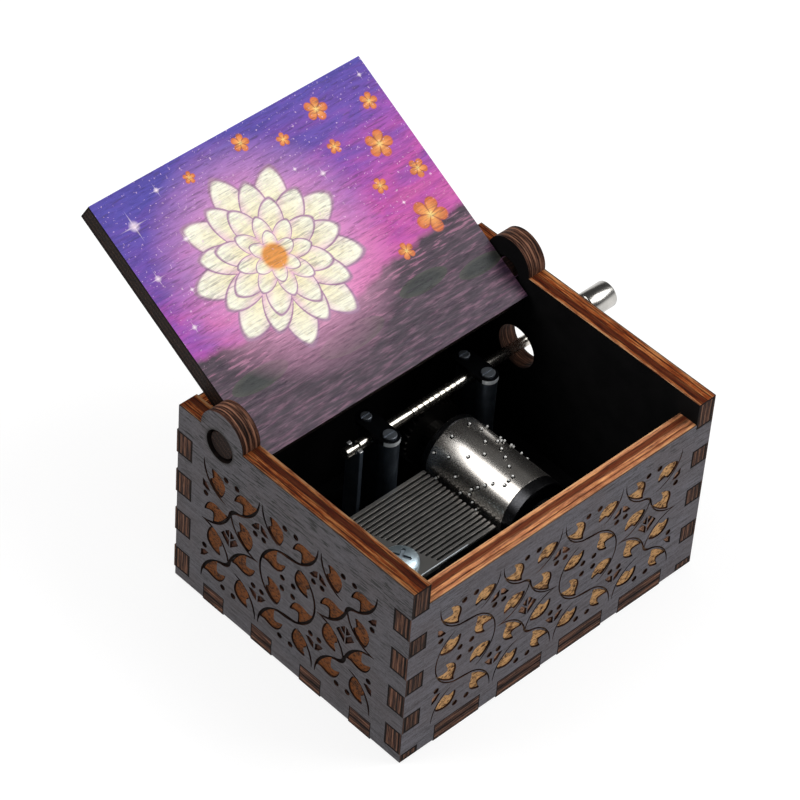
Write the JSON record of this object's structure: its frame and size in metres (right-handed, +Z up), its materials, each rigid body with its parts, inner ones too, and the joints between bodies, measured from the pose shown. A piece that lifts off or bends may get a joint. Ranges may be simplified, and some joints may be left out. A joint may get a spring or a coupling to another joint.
{
  "type": "hand-cranked music box",
  "caption": "Finger-jointed plywood box with a pegged swing lid, holding a hand-cranked movement whose worm turns a pinned cylinder against a steel comb",
  "frame": {"origin": "the middle of the base panel's underside, on the surface the box stands on", "axes": "+Z up, +X towards the crank's side, +Y towards the hinged back; the lid is stored open, leaning back"},
  "size_m": [0.073, 0.079, 0.0576],
  "materials": {
    "box_ply": "laser-cut plywood, stained dark grey",
    "lid_ply": "laser-cut plywood with a printed inside face",
    "casting": "black-coated zinc casting",
    "blued_steel": "dark blued sheet steel",
    "comb_steel": "hardened spring steel, dark",
    "zinc_screws": "zinc-plated steel",
    "nickel": "bright nickel plate"
  },
  "bodies": {
    "box": {"left_panel": "box_ply", "right_panel": "box_ply", "front_panel": "box_ply", "back_panel": "box_ply", "base_panel": "box_ply", "bedplate": "casting", "bearing_stand_left": "casting", "bearing_stand_right": "casting", "strap_left": "blued_steel", "strap_right": "blued_steel", "strap_screw_left_front": "blued_steel", "strap_screw_left_rear": "blued_steel", "strap_screw_right_front": "blued_steel", "strap_screw_right_rear": "blued_steel", "shaft_fork": "blued_steel", "front_bracket": "casting", "rear_bracket": "casting", "front_bracket_screw": "zinc_screws", "rear_bracket_screw": "zinc_screws", "fork_screw": "zinc_screws", "movement_screw_front_left": "zinc_screws", "movement_screw_front_right": "zinc_screws", "movement_screw_rear_left": "zinc_screws", "comb": "comb_steel", "comb_screw_treble": "zinc_screws", "comb_screw_bass": "zinc_screws"},
    "lid": {"lid": "lid_ply"},
    "crank": {"crank_rod": "nickel"},
    "knob": {"crank_knob": "nickel"},
    "cylinder": {"pinned_cylinder": "nickel", "front_cap": "nickel", "rear_cap": "nickel", "arbor": "nickel", "worm_wheel": "nickel"}
  },
  "joints": [
    {"name": "lid_swing", "type": "hinge", "parent": "box", "child": "lid", "pos_m": [0, 0.0164, 0.0358], "axis": [1, 0, 0], "range_deg": [0, 150.7]},
    {"name": "crank_turn", "type": "hinge", "parent": "box", "child": "crank", "pos_m": [0, 0.0125, 0.02213], "axis": [1, 0, 0], "continuous": true},
    {"name": "knob_spin", "type": "hinge", "parent": "crank", "child": "knob", "pos_m": [0.0382, 0.00544, 0.03133], "axis": [1, 0, 0], "continuous": true},
    {"name": "cylinder_turn", "type": "hinge", "parent": "box", "child": "cylinder", "pos_m": [0.0094, 0, 0.0155], "axis": [0, 1, 0], "continuous": true}
  ],
  "couplings": [
    {"joint": "cylinder_turn", "follows": "crank_turn", "ratio": -0.033333}
  ]
}
